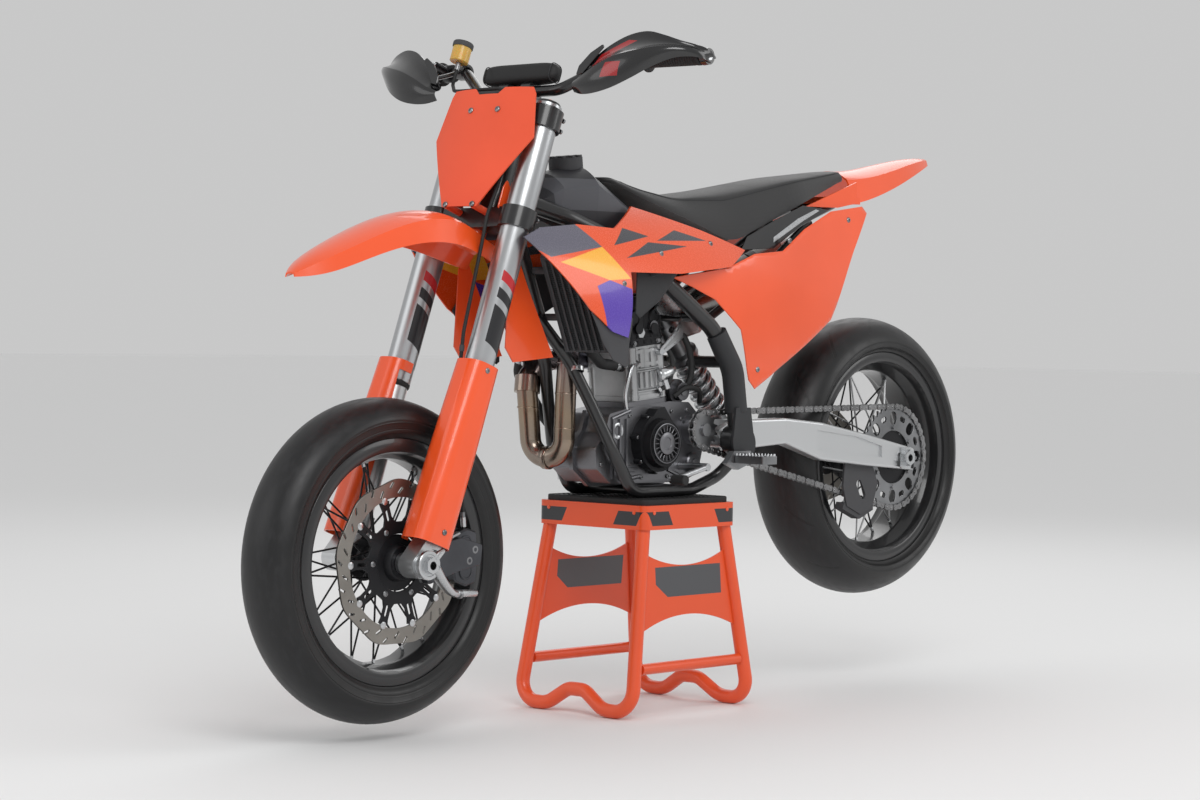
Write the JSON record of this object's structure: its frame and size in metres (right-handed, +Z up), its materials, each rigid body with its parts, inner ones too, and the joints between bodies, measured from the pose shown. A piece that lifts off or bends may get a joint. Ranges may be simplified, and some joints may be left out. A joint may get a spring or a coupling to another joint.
{
  "type": "supermoto motorcycle",
  "caption": "Single-cylinder supermoto motorcycle with wire wheels, held nose-down on a tubular paddock stand; steering and wheels turn.",
  "frame": {"origin": "on the floor, under the middle of the stand", "axes": "+X to the front of the motorcycle, +Y to the rider's left, +Z up"},
  "size_m": [2.0647, 0.854, 1.3414],
  "materials": {
    "orange_gloss": "smooth gloss mouldings",
    "stand_orange": "powder coated",
    "black_paint": "satin black coating",
    "black_plastic": "matt moulding",
    "rubber": "matt",
    "tyre": "slick compound",
    "cast_alloy": "bead blasted",
    "bright_alloy": "machined",
    "dark_cases": "dark cast finish",
    "steel": "ground",
    "titanium": "heat tinted",
    "cover": "ribbed seat cover",
    "amber": "translucent amber"
  },
  "bodies": {
    "root": {"stand_hoops": "stand_orange", "stand_side_panels": "stand_orange", "stand_deck": "stand_orange", "stand_pad": "rubber", "main_frame": "black_paint", "frame_guards": "black_plastic", "subframe": "black_paint", "crankcase": "dark_cases", "cylinder": "cast_alloy", "cylinder_head": "cast_alloy", "head_cover": "dark_cases", "engine_side_covers": "dark_cases", "head_brackets": "bright_alloy", "front_sprocket": "steel", "foot_levers": "bright_alloy", "footpegs": "steel", "radiators": "black_plastic", "coolant_hoses": "rubber", "shrouds": "orange_gloss", "side_panels": "orange_gloss", "fuel_tank": "black_plastic", "tank_cap": "black_plastic", "saddle": "cover", "tail": "orange_gloss", "exhaust_header": "titanium", "silencer": "titanium", "rear_shock": "steel", "swingarm": "cast_alloy", "swingarm_axle_lugs": "cast_alloy", "swingarm_pivot_bolt": "steel", "rear_axle": "steel", "chain": "steel", "chain_guide": "black_plastic", "rear_caliper": "dark_cases"},
    "steering": {"triple_clamps": "bright_alloy", "fork_outer_tubes": "cast_alloy", "fork_lowers": "cast_alloy", "fork_guards": "orange_gloss", "front_axle": "bright_alloy", "front_caliper": "dark_cases", "front_mudguard": "orange_gloss", "number_plate": "orange_gloss", "handlebar": "black_paint", "bar_pad": "rubber", "grips": "rubber", "hand_guards": "black_plastic", "levers": "bright_alloy", "brake_reservoir": "amber", "brake_hose": "rubber"},
    "front_wheel": {"front_tyre": "tyre", "front_rim": "black_paint", "front_hub_spokes": "dark_cases", "front_disc": "steel"},
    "rear_wheel": {"rear_tyre": "tyre", "rear_rim": "black_paint", "rear_hub_spokes": "dark_cases", "rear_disc": "steel", "rear_sprocket": "steel"}
  },
  "joints": [
    {"name": "steering_turn", "type": "hinge", "parent": "root", "child": "steering", "pos_m": [0.445, 0, 0.963], "axis": [-0.3354, 0, 0.9421], "range_deg": [-44, 44]},
    {"name": "front_wheel_spin", "type": "hinge", "parent": "steering", "child": "front_wheel", "pos_m": [0.72384, 0, 0.33199], "axis": [0, 1, 0], "continuous": true},
    {"name": "rear_wheel_spin", "type": "hinge", "parent": "root", "child": "rear_wheel", "pos_m": [-0.73089, 0, 0.49706], "axis": [0, 1, 0], "continuous": true}
  ]
}
